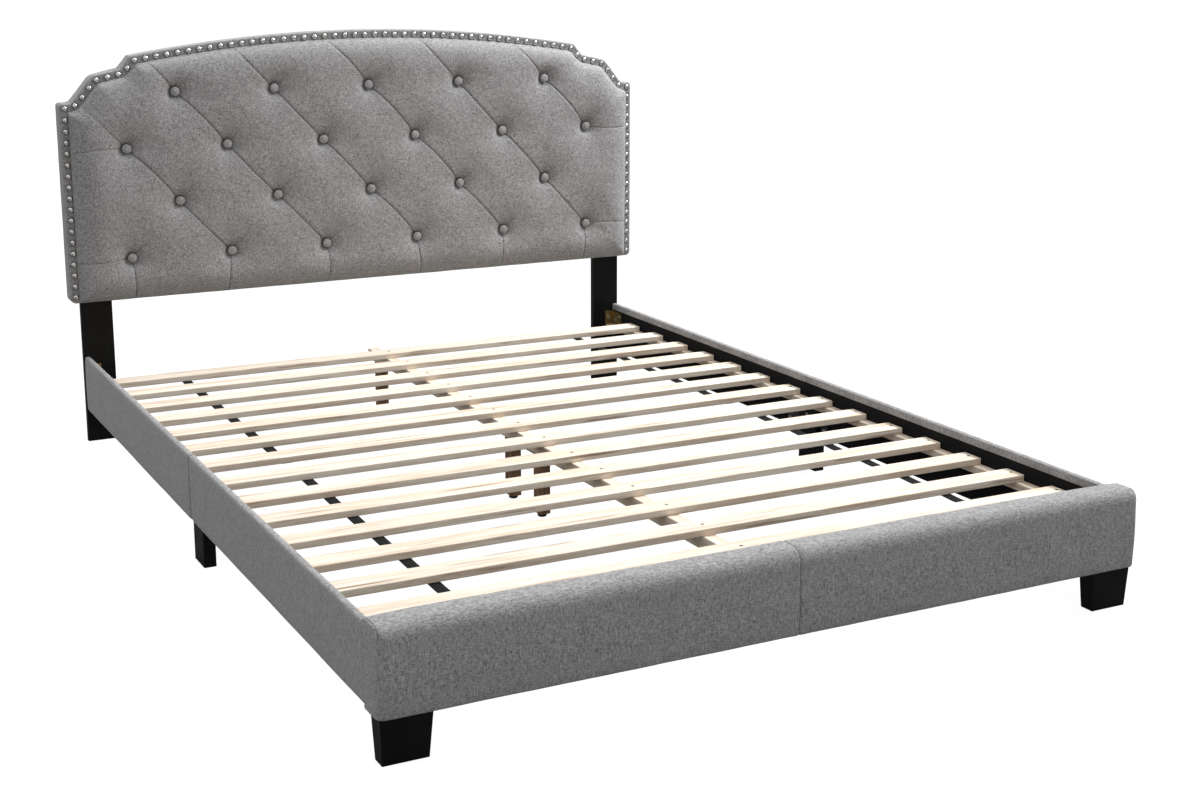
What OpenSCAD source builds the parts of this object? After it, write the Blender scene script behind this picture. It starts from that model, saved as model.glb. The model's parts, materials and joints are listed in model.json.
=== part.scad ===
// Upholstered bed frame with an arched, button-tufted headboard.
// Origin: middle of the footprint, on the floor. +Y runs to the headboard.

/* [Frame] */
// Clear width between the side rails
inner_w = 1570; // [900:10:1950]
// Length of the side rails, from the footboard to the head posts
rail_l = 2143; // [1750:1:2600]
// Height of the underside of the side rails above the floor
rail_lift = 87; // [60:1:150]
// Height of a covered side rail
rail_h = 145; // [120:1:220]
// Thickness of a side rail's board
rail_board = 12; // [9:1:25]
// Distance of the rail joint from the rail's middle, towards the head
seam_shift = 12; // [-60:1:60]

/* [Footboard] */
// Thickness of the covered footboard
foot_t = 70; // [50:1:110]
// Height of the footboard's top above the floor
foot_top = 247; // [200:1:420]
// How far the footboard's underside hangs below the rails
foot_drop = 3; // [0:1:20]
// How far the footboard stands out past each rail
foot_over = 2; // [0:1:20]

/* [Headboard] */
// How far the headboard stands out past each rail
head_over = 31; // [10:1:80]
// Height of the headboard's lower edge
head_low = 382; // [260:1:460]
// Height of the shoulders
head_shoulder = 905; // [740:1:1150]
// Height of the arch at its middle
head_top = 1075; // [1050:1:1400]
// Rise of the arch from its ends to its middle
arch_rise = 54; // [30:1:110]
// Depth of the headboard in front of the posts
head_front = 27; // [22:1:40]
// Depth of the headboard from the posts' front face to its back
head_back = 27; // [26:1:50]
// Thickness of the tufted cushion
cushion_t = 23; // [15:1:40]
// Spacing of the rows of buttons
button_row = 144; // [100:1:180]
// Spacing of the buttons along a row
button_col = 268; // [180:1:320]
// Diameter of a button
button_d = 24; // [16:1:34]
// Diameter of a nail head
nail_d = 15; // [9:1:20]
// Spacing of the nail heads
nail_pitch = 29; // [18:1:50]

/* [Legs] */
// Width of a head post
post_w = 82; // [50:1:110]
// Thickness of a head post
post_t = 20; // [15:1:26]
// Size of a middle leg along the rail
mid_leg_l = 76; // [40:1:100]
// Size of a middle leg across the rail
mid_leg_w = 27; // [20:1:40]
// Size of a centre leg across the bed
leg_x = 27; // [20:1:45]
// Size of a centre leg along the bed
leg_y = 36; // [24:1:60]
// How far a levelling glide screws out
glide_travel = 10; // [4:1:20]

/* [Slats] */
// Number of slats
slat_n = 14; // [10:1:18]
// Width of a slat
slat_w = 56; // [40:1:80]
// Thickness of a slat
slat_t = 15; // [12:1:22]
// Height of the slats' undersides above the rails' undersides
slat_seat = 92; // [60:1:120]
// Width of the cleats that hold the slats
cleat_w = 24; // [18:1:45]
// Thickness of the cleats
cleat_t = 17; // [12:1:30]
// Width and height of the centre beam
beam = 29; // [24:1:50]
// Distance of the webbing straps from the middle
strap_x = 575; // [200:1:640]

/* [Hidden] */
$fn = 48;
skin = 2;              // outer cover of rails and footboard
lining_t = 1;          // black cloth inside the rails
turn_down = 18;        // how far the cover folds down inside
bolt_fit = 0.1;        // clearance of a shank in its hole
slat_gap = 5;          // slat end to lining
butt = 0.3;            // gap between pieces of two bodies
panel_t = 9;           // headboard panel
head_skin = 3;         // headboard's edge cover
stile_w = 19;
batten_t = 15;
nail_in = 13;          // nail line to the headboard's outline
cushion_in = 24;       // cushion's edge to the outline
shoulder_w = 31;       // flat part of a shoulder
ogee_w = 56;           // curve from the shoulder to the ledge
ogee_h = 68;
ledge_w = 74;          // nearly flat ledge under the arch
ledge_rise = 16;
step_w = 27;           // short steep step to the arch
arch_steps = 24;
corner_steps = 6;
first_slat = 152;      // middle of the first slat to the head posts
last_slat = 132;       // middle of the last slat to the footboard
head_leg = 90;         // first centre leg to the posts
foot_leg = 170;        // last centre leg to the footboard
leg_joint = 80;        // inner centre legs to the beam's joint
beam_end = 25;
foot_h = rail_lift - foot_drop;
foot_w_low = 83;
foot_w_top = 94;
foot_d_low = 32;
foot_d_top = 40;
foot_in = 9;           // tapered foot's bottom to the footboard's end
glide_r = 11;
glide_h = 9;
stud_r = 4;
stud_l = glide_travel + 16;
bracket_t = 3;
plate_t = 5;
bar_w = 36;            // depth of the footboard's inner frame
panel_in = 10;         // footboard's inner faces to its outer ones
board_t = 12;          // footboard panel
lining_drop = 22;      // footboard's top to the top of its lining
bracket_post = 26;     // bracket's leg on a post or the footboard
bracket_rail = 62;     // bracket's leg along the rail
bracket_h = 40;
screw_l = 28;          // slat screws
ease = 2;              // rounded edges of the wood
edge_gap = 120;        // closest that a button comes to the headboard's side

half_in = inner_w / 2;
lining_out = half_in + lining_t;
board_out = lining_out + rail_board;
half_out = board_out + skin;
total_l = foot_t + rail_l + head_back;
foot_y = -total_l / 2;              // footboard's front
foot_back_y = foot_y + foot_t;      // footboard's inner side
post_y = foot_back_y + rail_l;      // front face of the posts
back_y = post_y + head_back;
seam_y = (foot_back_y + post_y) / 2 + seam_shift;
rail_top = rail_lift + rail_h;
slat_z = rail_lift + slat_seat;
slat_end = half_in - slat_gap + 1;
cleat_z = slat_z - cleat_t;
beam_z = slat_z - beam;
slat_pitch = (rail_l - first_slat - last_slat) / (slat_n - 1);
rim_y = post_y - head_front;        // plane that the nails sit on
panel_y = rim_y + head_skin;
frame_y = panel_y + panel_t;
cloth_y = back_y - 2;
head_w = half_out + head_over;
post_out = half_out + foot_over;
post_in = post_out - post_w;
post_top = head_shoulder - 145;
button_z = head_shoulder + 22;
cushion_y = rim_y + 3 - cushion_t;
button_rows = floor((button_z - head_low - edge_gap / 2) / button_row) + 1;
button_cols = ceil(head_w / button_col);
roll_n = floor(slat_n / 2);
mid_y0 = seam_y + 4 - mid_leg_l;
leg_ys = [post_y - head_leg, seam_y + leg_joint, seam_y - leg_joint, foot_back_y + foot_leg];
slat_ys = [for (i = [0:slat_n - 1]) post_y - first_slat - i * slat_pitch];
slat_names = [for (i = [1:slat_n]) str("slat_", i < 10 ? "0" : "", i)];

// ---------- outline of the headboard, seen from the foot end ----------

arch_x = head_w - shoulder_w - ogee_w - ledge_w - step_w;
arch_end = head_top - arch_rise;
arch_r = (arch_x * arch_x + arch_rise * arch_rise) / (2 * arch_rise);
ledge_z = head_shoulder + ogee_h;

// [x, z, corner radius] up the right side
side_pts = [
  [head_w, head_low, 14],
  [head_w, head_shoulder, 9],
  [head_w - shoulder_w, head_shoulder - 1, 24],
  [head_w - shoulder_w - ogee_w, ledge_z, 36],
  [head_w - shoulder_w - ogee_w - ledge_w, ledge_z + ledge_rise, 14],
  [arch_x, arch_end, 9]];

arch_pts = [for (i = [1:arch_steps - 1])
  let (x = arch_x * (1 - 2 * i / arch_steps))
  [x, head_top - arch_r + sqrt(arch_r * arch_r - x * x), 0]];

base_pts = concat(
  side_pts, arch_pts,
  [for (i = [len(side_pts) - 1:-1:0]) [-side_pts[i].x, side_pts[i].y, side_pts[i].z]]);

function unit(v) = v / norm(v);
function flat(p) = [p.x, p.y];
function wrap(list, i) = list[(i + len(list)) % len(list)];

// the outline moved inwards by d, with its corner radii to match
function inset(pts, d) = [for (i = [0:len(pts) - 1])
  let (
    p = flat(pts[i]),
    u = unit(p - flat(wrap(pts, i - 1))),
    v = unit(flat(wrap(pts, i + 1)) - p),
    m = [-u.y, u.x],
    n = [-v.y, v.x],
    turn = u.x * v.y - u.y * v.x,
    q = p + (m + n) * d / (1 + m * n),
    r = pts[i].z == 0 ? 0 : max(1, pts[i].z - sign(turn) * d))
  [q.x, q.y, r]];

// each corner swapped for an arc of its radius
function rounded(pts) = [for (i = [0:len(pts) - 1])
  let (
    p = flat(pts[i]),
    u = unit(flat(wrap(pts, i - 1)) - p),
    v = unit(flat(wrap(pts, i + 1)) - p),
    turn = 180 - acos(max(-1, min(1, u * v))),
    reach = pts[i].z * tan(turn / 2),
    a = p + u * reach,
    b = p + v * reach,
    mid = unit(u + v),
    c = p + mid * (pts[i].z / cos(turn / 2)),
    a0 = atan2(a.y - c.y, a.x - c.x),
    sweep = atan2(b.y - c.y, b.x - c.x) - a0,
    s = sweep > 180 ? sweep - 360 : sweep < -180 ? sweep + 360 : sweep)
  each (pts[i].z == 0 ? [p] : [for (k = [0:corner_steps])
    c + pts[i].z * [cos(a0 + s * k / corner_steps), sin(a0 + s * k / corner_steps)]])];

module outline(d = 0) {
  polygon(rounded(inset(base_pts, d)));
}

// a slab of the headboard's outline between two depths
module slab(d, y0, y1) {
  translate([0, y1, 0]) rotate([90, 0, 0]) linear_extrude(y1 - y0) outline(d);
}

module box_at(p, q) {
  translate(p) cube(q - p);
}

// a rectangle with eased corners
module eased(w, h) {
  translate([ease, 0]) square([w - 2 * ease, h]);
  translate([0, ease]) square([w, h - 2 * ease]);
  for (x = [ease, w - ease], y = [ease, h - ease]) translate([x, y]) circle(ease);
}

// bars with eased long edges: upright, across the bed and along it
module post_at(p, q) {
  translate(p) linear_extrude(q.z - p.z) eased(q.x - p.x, q.y - p.y);
}

module crossbar_at(p, q) {
  translate(p) rotate([90, 0, 90]) linear_extrude(q.x - p.x) eased(q.y - p.y, q.z - p.z);
}

module long_bar_at(p, q) {
  translate([p.x, q.y, p.z]) rotate([90, 0, 0]) linear_extrude(q.y - p.y) eased(q.x - p.x, q.z - p.z);
}

module both_sides() {
  children();
  mirror([1, 0, 0]) children();
}

module one_side(side) {
  if (side > 0) children();
  else mirror([1, 0, 0]) children();
}

// ---------- rows of nails and buttons ----------

nail_line = let (
    all = rounded(inset(base_pts, nail_in)),
    low = head_low + nail_in + 4)
  concat([[head_w - nail_in, low]], [for (p = all) if (p.y > low + 1) p],
         [[nail_in - head_w, low]]);

function run(list, i = 0, sum = 0) = i >= len(list) - 1 ? [sum]
  : concat([sum], run(list, i + 1, sum + norm(list[i + 1] - list[i])));

nail_runs = run(nail_line);
nail_len = nail_runs[len(nail_runs) - 1];
nail_n = round(nail_len / nail_pitch);

function along(s, i = 0) = i >= len(nail_runs) - 2 || nail_runs[i + 1] >= s
  ? nail_line[i] + (nail_line[i + 1] - nail_line[i])
    * (s - nail_runs[i]) / (nail_runs[i + 1] - nail_runs[i])
  : along(s, i + 1);

nail_spots = [for (i = [0:nail_n]) along(nail_len * i / nail_n)];

button_spots = [for (row = [0:button_rows - 1], col = [-button_cols:button_cols + 1])
  let (x = (col - (row % 2) / 2) * button_col)
  if (abs(x) < head_w - edge_gap) [x, button_z - row * button_row]];

module facing_foot(spots, y) {
  for (p = spots) translate([p.x, y, p.y]) rotate([-90, 0, 0]) children();
}

module nail_shanks(extra = 0) {
  facing_foot(nail_spots, rim_y) cylinder(r = 1.1 + extra, h = panel_t, $fn = 16);
}

module button_shanks(extra = 0) {
  facing_foot(button_spots, cushion_y + 2)
    cylinder(r = 1.5 + extra, h = panel_y + panel_t - cushion_y - 3, $fn = 16);
}

// ---------- bolts and screws ----------

module bolt(r, l, head_r, head_h, extra) {
  cylinder(r = r + extra, h = l);
  if (extra == 0) translate([0, 0, -head_h]) cylinder(r = head_r, h = head_h);
}

// a bolt whose head is at p and whose shank points along the turned Z axis
module bolt_at(p, turn, r, l, head_r, head_h, extra) {
  translate(p) rotate(turn) bolt(r, l, head_r, head_h, extra);
}

module bracket_pair(x, y, z, way, extra) {
  bolt_at([x - bracket_post / 2 - 2, y - way * bracket_t, z], [-90 * way, 0, 0],
          3, bracket_t + 12, 6, 3, extra);
  for (d = [-12, 12])
    bolt_at([x - bracket_t, y - way * (bracket_rail / 2 + 5 + d), z + d / 2], [0, 90, 0],
            3, bracket_t + lining_t + 9, 6, 3, extra);
}

head_bracket_z = slat_z + 12;
foot_bracket_z = rail_lift + 45;
rail_bolt_z = [rail_lift + 22, rail_lift + 52];

module bolts(extra = 0) both_sides() {
  for (z = [head_low + 98, post_top - 80])
    bolt_at([post_out - post_w / 2, post_y + post_t, z], [90, 0, 0], 4,
            post_t + batten_t - 4, 7.5, 3, extra);
  bracket_pair(half_in, post_y, head_bracket_z, 1, extra);
  bracket_pair(half_in, foot_back_y, foot_bracket_z, -1, extra);
  for (z = rail_bolt_z) {
    for (y = [seam_y - 92, seam_y + 30, seam_y + 60])
      bolt_at([half_in - plate_t, y, z], [0, 90, 0], 3, plate_t + lining_t + 9, 6, 3, extra);
    bolt_at([half_in - plate_t - 12, mid_y0 + mid_leg_l / 2, z], [0, 90, 0], 3,
            plate_t + lining_t + 21, 6, 3, extra);
  }
}

module hanger_bolts(extra = 0) {
  for (y = leg_ys)
    translate([0, y, beam_z - 22])
      cylinder(r = 3 + extra, h = slat_z + slat_t - screw_l - 2 - beam_z + 22);
  both_sides()
    translate([post_out - foot_in - foot_w_low / 2, foot_y + foot_t / 2, foot_h - 30])
      cylinder(r = 4 + extra, h = 60);
}

module plate_screws(extra = 0) {
  for (dy = [-45, -20, 20, 45])
    translate([0, seam_y + dy, beam_z - bracket_t]) bolt(2.5, 22, 5, 2.5, extra);
}

module slat_shanks(extra = 0) {
  for (y = slat_ys, x = [-slat_end + 12, 0, slat_end - 12])
    translate([x, y, slat_z + slat_t - screw_l - 1]) cylinder(r = 1.8 + extra, h = screw_l, $fn = 24);
}

module slat_heads(extra = 0) {
  for (y = slat_ys, x = [-slat_end + 12, 0, slat_end - 12])
    translate([x, y, slat_z + slat_t - 2.4]) cylinder(r1 = 1.8 + extra, r2 = 4 + extra, h = 2.4, $fn = 24);
}

// ---------- headboard ----------

module headboard_panel() color("burlywood") difference() {
  slab(head_skin, panel_y, frame_y);
  nail_shanks(bolt_fit);
  button_shanks(bolt_fit);
}

module headboard_stiles() color("burlywood") intersection() {
  slab(head_skin, frame_y, cloth_y);
  both_sides()
    box_at([head_w - head_skin - stile_w, frame_y - 1, head_low + 6],
           [head_w, cloth_y + 1, head_shoulder - 30]);
}

// a low bar, a middle bar and the curved bar under the arch
module headboard_rails() color("burlywood") {
  for (z = [head_low + 6, head_low + 240])
    box_at([-post_in + 5, frame_y, z], [post_in - 5, cloth_y, z + 45]);
  intersection() {
    difference() {
      slab(head_skin, frame_y, cloth_y);
      slab(head_skin + 46, frame_y - 1, cloth_y + 1);
    }
    box_at([-head_w, frame_y - 2, head_shoulder - 29], [head_w, cloth_y + 2, head_top]);
  }
}

module post_battens() color("burlywood") difference() {
  both_sides()
    box_at([post_in, frame_y, head_low + 6], [post_out, post_y, post_top]);
  bolts(bolt_fit);
}

module headboard_cushion() color("gray") difference() {
  slab(cushion_in, cushion_y, panel_y);
  facing_foot(button_spots, cushion_y - 1) cylinder(d = button_d + 1, h = 4);
  button_shanks(bolt_fit);
}

module headboard_side_cover() color("dimgray") difference() {
  slab(0, rim_y, back_y);
  slab(head_skin, panel_y, back_y + 1);
  slab(cushion_in - 0.5, rim_y - 1, panel_y + 1);
  nail_shanks(bolt_fit);
  both_sides()
    box_at([post_in - bolt_fit, post_y - 0.5, head_low - 1],
           [post_out + bolt_fit, back_y + 1, head_low + head_skin + 1]);
}

module headboard_back_cloth() color("black")
  slab(head_skin + 0.2, cloth_y, cloth_y + 1.5);

module button() rotate_extrude($fn = 32) polygon([
  [0, -4.2], [button_d * 0.2, -3.8], [button_d * 0.36, -2.6], [button_d * 0.46, -0.8],
  [button_d / 2, 1], [button_d / 2 - 1, 3], [0, 3]]);

module headboard_buttons() color("gray") {
  facing_foot(button_spots, cushion_y) button();
  button_shanks();
}

module nail_dome() rotate_extrude($fn = 32) polygon([
  [0, -4], [nail_d * 0.16, -3.7], [nail_d * 0.3, -2.9], [nail_d * 0.42, -1.6],
  [nail_d * 0.49, -0.4], [nail_d * 0.49, 0], [0, 0]]);

module headboard_nails() color("silver") {
  facing_foot(nail_spots, rim_y) nail_dome();
  nail_shanks();
}

module head_post(side) color("black") difference() {
  one_side(side) post_at([post_in, post_y, 0], [post_out, post_y + post_t, post_top]);
  bolts(bolt_fit);
}

module angle(way) {
  for (size = [[bracket_post, bracket_t], [bracket_t, bracket_rail]])
    box_at([half_in - size[0], min(0, -way * size[1]), -bracket_h / 2],
           [half_in, max(0, -way * size[1]), bracket_h / 2]);
}

module head_brackets() color("gold") difference() {
  both_sides() translate([0, post_y, head_bracket_z]) angle(1);
  bolts(bolt_fit);
}

module foot_brackets() color("gold") difference() {
  both_sides() translate([0, foot_back_y, foot_bracket_z]) angle(-1);
  bolts(bolt_fit);
}

// ---------- side rails ----------

function rail_y(end) = end > 0 ? [seam_y, post_y] : [foot_back_y, seam_y];

module side_rail(side, end) color("tan") difference() {
  one_side(side)
    box_at([lining_out, rail_y(end)[0] + 0.5, rail_lift + skin],
           [board_out, rail_y(end)[1], rail_top - skin]);
  bolts(bolt_fit);
}

module rail_cover(side, end) color("gray") one_side(side) difference() {
  box_at([half_in, rail_y(end)[0] + 0.2, rail_lift], [half_out, rail_y(end)[1], rail_top]);
  box_at([half_in - 1, rail_y(end)[0] - 1, rail_lift + skin],
         [board_out, rail_y(end)[1] + 1, rail_top - turn_down]);
  box_at([lining_out, rail_y(end)[0] - 1, rail_lift + skin],
         [board_out, rail_y(end)[1] + 1, rail_top - skin]);
  bolts(bolt_fit);
}

module inner_linings() color("black") {
  difference() {
    both_sides() for (end = [-1, 1])
      box_at([half_in, rail_y(end)[0] + 0.5, rail_lift + skin],
             [lining_out, rail_y(end)[1], rail_top - turn_down]);
    bolts(bolt_fit);
    slat_shanks(bolt_fit);
  }
  difference() {
    box_at([-post_out + panel_in + 3, foot_back_y - 2, foot_h + 6],
           [post_out - panel_in - 3, foot_back_y - 1, foot_top - lining_drop]);
    bolts(bolt_fit);
  }
}

module slat_cleats() color("wheat") difference() {
  both_sides() for (end = [-1, 1])
    long_bar_at([half_in - cleat_w, rail_y(end)[0] + 1, cleat_z],
                [half_in, rail_y(end)[1] - 1, slat_z]);
  slat_shanks(bolt_fit);
  both_sides() for (at = [[post_y - bracket_rail - 1, head_bracket_z], [foot_back_y - 1, foot_bracket_z]])
    translate([half_in - cleat_w - 1, at.x, at.y - bracket_h / 2 - 1])
      cube([cleat_w + 2, bracket_rail + 2, bracket_h + 2]);
}

module rail_joint_plates() color("dimgray") difference() {
  both_sides() box_at([half_in - plate_t, seam_y - 105, rail_lift + 8],
                      [half_in, seam_y + 75, rail_lift + 66]);
  bolts(bolt_fit);
}

module frame_bolts() color("silver") {
  bolts();
  hanger_bolts();
  plate_screws();
}

// below the rail a leg is its full width; above, only its inner part goes up
module mid_leg(side) color("black") difference() {
  one_side(side) {
    post_at([half_out - mid_leg_w - 5, mid_y0, 0],
            [half_out - 5, mid_y0 + mid_leg_l, rail_lift]);
    box_at([half_in - plate_t - 12, mid_y0, rail_lift - 1],
           [half_in - plate_t, mid_y0 + mid_leg_l, cleat_z - 2]);
  }
  bolts(bolt_fit);
}

// ---------- footboard ----------

module footboard_panel() color("burlywood")
  box_at([-post_out + panel_in, foot_y + panel_in, foot_h + 6],
         [post_out - panel_in, foot_y + panel_in + board_t, foot_top - 9]);

module footboard_frame() color("burlywood") difference() {
  box_at([-post_out + panel_in, foot_y + panel_in + board_t, foot_h + 6],
         [post_out - panel_in, foot_y + panel_in + board_t + bar_w, foot_top - 9]);
  for (x = [-post_out + 110, 20])
    box_at([x, foot_y + 21, foot_h + 42], [x + post_out - 130, foot_y + foot_t, foot_top - 45]);
  hanger_bolts(bolt_fit);
  bolts(bolt_fit);
}

// cross-section of the padded cover, front towards -X
module cover_profile() {
  soft_r = 28;
  back_r = 14;
  translate([soft_r, foot_top - soft_r]) circle(soft_r);
  translate([foot_t - back_r, foot_top - back_r]) circle(back_r);
  translate([0, foot_h]) square([foot_t, foot_top - foot_h - soft_r]);
  translate([soft_r, foot_h]) square([foot_t - soft_r - back_r, foot_top - foot_h]);
  translate([soft_r, foot_h]) square([foot_t - soft_r, foot_top - foot_h - back_r]);
}

module footboard_cover() color("gray") difference() {
  translate([-post_out, foot_y, 0]) rotate([90, 0, 90])
    linear_extrude(2 * post_out) cover_profile();
  box_at([-post_out + panel_in, foot_y + panel_in, foot_h + 6],
         [post_out - panel_in, foot_y + panel_in + board_t + bar_w, foot_top - 9]);
  box_at([-post_out + panel_in + 3, foot_y + panel_in + board_t + bar_w - 1, foot_h + 6],
         [post_out - panel_in - 3, foot_back_y + 1, foot_top - lining_drop]);
  hanger_bolts(bolt_fit);
  bolts(bolt_fit);
}

// a foot narrows towards the floor
module foot(side) color("black") difference() {
  one_side(side) hull() {
    translate([post_out - foot_in - foot_w_low, foot_y + 16, 0]) cube([foot_w_low, foot_d_low, 0.5]);
    translate([post_out - foot_in - foot_w_low - 7, foot_y + 12, foot_h - 0.5])
      cube([foot_w_top, foot_d_top, 0.5]);
  }
  hanger_bolts(bolt_fit);
}

// ---------- centre beam, legs and glides ----------

module centre_beam(end) color("wheat") difference() {
  long_bar_at([-beam / 2, end > 0 ? seam_y + 0.5 : foot_back_y + beam_end, beam_z],
              [beam / 2, end > 0 ? post_y - beam_end : seam_y - 0.5, slat_z]);
  slat_shanks(bolt_fit);
  hanger_bolts(bolt_fit);
  plate_screws(bolt_fit);
}

module beam_plate() color("silver") difference() {
  box_at([-12, seam_y - 58, beam_z - bracket_t], [12, seam_y + 58, beam_z]);
  plate_screws(bolt_fit);
}

module centre_leg(i) color("saddlebrown") difference() {
  post_at([-leg_x / 2, leg_ys[i - 1] - leg_y / 2, glide_h + butt],
          [leg_x / 2, leg_ys[i - 1] + leg_y / 2, beam_z]);
  hanger_bolts(bolt_fit);
  translate([0, leg_ys[i - 1], 0]) cylinder(r = stud_r + 0.05, h = glide_h + stud_l + 4);
}

module leg_glide(i) color("black") translate([0, leg_ys[i - 1], 0]) {
  rotate_extrude() polygon([
    [0, 0], [glide_r - 3, 0], [glide_r - 0.8, 1.4], [glide_r, 3.4],
    [glide_r, glide_h - 3], [glide_r - 2, glide_h], [0, glide_h]]);
  translate([0, 0, glide_h - 1]) cylinder(r = stud_r, h = stud_l + 1);
}

// ---------- slats ----------

module slat(i) color("wheat") difference() {
  crossbar_at([-slat_end, slat_ys[i - 1] - slat_w / 2, slat_z],
              [slat_end, slat_ys[i - 1] + slat_w / 2, slat_z + slat_t]);
  slat_shanks(bolt_fit);
  slat_heads(bolt_fit);
}

// two straps under the first roll of slats and two under the second
module slat_webbing() color("black") both_sides()
  for (ends = [[0, roll_n - 1], [roll_n, slat_n - 1]])
    box_at([strap_x - 12.5, slat_ys[ends[1]] - slat_w / 2 + 4, slat_z - 1.3],
           [strap_x + 12.5, slat_ys[ends[0]] + slat_w / 2 - 4, slat_z]);

module slat_screws() color("dimgray") {
  slat_shanks();
  slat_heads();
}

headboard_panel();
headboard_stiles();
headboard_rails();
post_battens();
headboard_cushion();
headboard_side_cover();
headboard_back_cloth();
headboard_buttons();
headboard_nails();
head_post(-1);  // head_post_left
head_post(1);  // head_post_right
head_brackets();
side_rail(-1, 1);  // side_rail_left_head
side_rail(-1, -1);  // side_rail_left_foot
side_rail(1, 1);  // side_rail_right_head
side_rail(1, -1);  // side_rail_right_foot
rail_cover(-1, 1);  // rail_cover_left_head
rail_cover(-1, -1);  // rail_cover_left_foot
rail_cover(1, 1);  // rail_cover_right_head
rail_cover(1, -1);  // rail_cover_right_foot
inner_linings();
slat_cleats();
rail_joint_plates();
frame_bolts();
mid_leg(-1);  // mid_leg_left
mid_leg(1);  // mid_leg_right
footboard_panel();
footboard_frame();
footboard_cover();
foot(-1);  // foot_left
foot(1);  // foot_right
foot_brackets();
centre_beam(1);  // centre_beam_head
centre_beam(-1);  // centre_beam_foot
beam_plate();
centre_leg(1);  // centre_leg_1
centre_leg(2);  // centre_leg_2
centre_leg(3);  // centre_leg_3
centre_leg(4);  // centre_leg_4
leg_glide(1);  // leg_glide_1
leg_glide(2);  // leg_glide_2
leg_glide(3);  // leg_glide_3
leg_glide(4);  // leg_glide_4
for (i = [1:slat_n]) slat(i);
slat_webbing();
slat_screws();
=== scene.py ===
"""Upholstered bed with an arched, button-tufted headboard, dressed round its CAD frame."""

import json
import math
import random

import bpy
import numpy as np
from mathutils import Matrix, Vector, noise


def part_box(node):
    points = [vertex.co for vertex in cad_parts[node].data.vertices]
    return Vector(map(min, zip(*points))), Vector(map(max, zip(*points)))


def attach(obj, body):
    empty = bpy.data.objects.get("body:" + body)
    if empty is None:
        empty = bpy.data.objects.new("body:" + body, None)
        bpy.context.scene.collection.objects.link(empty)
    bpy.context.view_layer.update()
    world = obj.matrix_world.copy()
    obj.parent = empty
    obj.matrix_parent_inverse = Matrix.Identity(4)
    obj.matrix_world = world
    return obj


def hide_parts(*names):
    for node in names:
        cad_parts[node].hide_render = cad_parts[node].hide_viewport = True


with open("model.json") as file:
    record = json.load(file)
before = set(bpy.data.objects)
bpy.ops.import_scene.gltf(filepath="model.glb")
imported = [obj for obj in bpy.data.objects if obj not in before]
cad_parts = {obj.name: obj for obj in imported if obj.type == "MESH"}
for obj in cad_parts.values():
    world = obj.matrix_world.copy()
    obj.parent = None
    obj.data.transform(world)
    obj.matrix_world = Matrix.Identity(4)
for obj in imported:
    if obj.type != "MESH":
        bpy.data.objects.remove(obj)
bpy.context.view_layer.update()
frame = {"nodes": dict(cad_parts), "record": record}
scene = bpy.context.scene
BODY = "bed_frame"

# ---------- sizes, in metres, from the frame ----------

side_low, side_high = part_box("headboard_side_cover")
cushion_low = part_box("headboard_cushion")[0]
panel_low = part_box("headboard_panel")[0]
foot_low, foot_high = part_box("footboard_cover")
slat_boxes = [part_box(f"slat_{i:02d}") for i in range(1, 15)]

HEAD_W = side_high.x
HEAD_LOW = side_low.z
HEAD_TOP = side_high.z
HEAD_SHOULDER = 0.905
RIM_Y = side_low.y
BACK_Y = side_high.y
PANEL_Y = panel_low.y
NAIL_IN = 0.013
NAIL_PITCH = 0.029
NAIL_R = 0.00735
BUTTON_Y = cushion_low.y
BUTTON_ROW = 0.144
BUTTON_COL = 0.268
BUTTON_Z = HEAD_SHOULDER + 0.022
ARCH_RISE = 0.054
ARCH_STEPS = 24
CORNER_STEPS = 6
FOOT_FRONT_R = 0.028     # rounding of the footboard's front top edge
FOOT_BACK_R = 0.014
FOOT_LOW_R = 0.005
LINING_DROP = 0.022      # top of the footboard's lining below its top
STRAP_W = 0.025


# ---------- outline of the headboard, seen from the foot end ----------

def headboard_corners():
    """[x, z, corner radius] round the headboard, right side first."""
    ledge_z = HEAD_SHOULDER + 0.068
    arch_x = HEAD_W - 0.031 - 0.056 - 0.074 - 0.027
    arch_end = HEAD_TOP - ARCH_RISE
    arch_r = (arch_x**2 + ARCH_RISE**2) / (2 * ARCH_RISE)
    side = [
        (HEAD_W, HEAD_LOW, 0.014),
        (HEAD_W, HEAD_SHOULDER, 0.009),
        (HEAD_W - 0.031, HEAD_SHOULDER - 0.001, 0.024),
        (HEAD_W - 0.087, ledge_z, 0.036),
        (HEAD_W - 0.161, ledge_z + 0.016, 0.014),
        (arch_x, arch_end, 0.009),
    ]
    arch = []
    for i in range(1, ARCH_STEPS):
        x = arch_x * (1 - 2 * i / ARCH_STEPS)
        arch.append((x, HEAD_TOP - arch_r + math.sqrt(arch_r**2 - x * x), 0.0))
    return side + arch + [(-x, z, r) for x, z, r in reversed(side)]


def unit(v):
    return v / np.linalg.norm(v)


def inset(corners, d):
    """The outline moved inwards by d, with its corner radii to match."""
    moved = []
    n = len(corners)
    for i in range(n):
        p = np.array(corners[i][:2])
        u = unit(p - np.array(corners[i - 1][:2]))
        v = unit(np.array(corners[(i + 1) % n][:2]) - p)
        a, b = np.array([-u[1], u[0]]), np.array([-v[1], v[0]])
        turn = u[0] * v[1] - u[1] * v[0]
        q = p + (a + b) * d / (1 + a @ b)
        r = corners[i][2]
        moved.append((q[0], q[1], 0.0 if r == 0 else max(0.001, r - math.copysign(d, turn))))
    return moved


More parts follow.
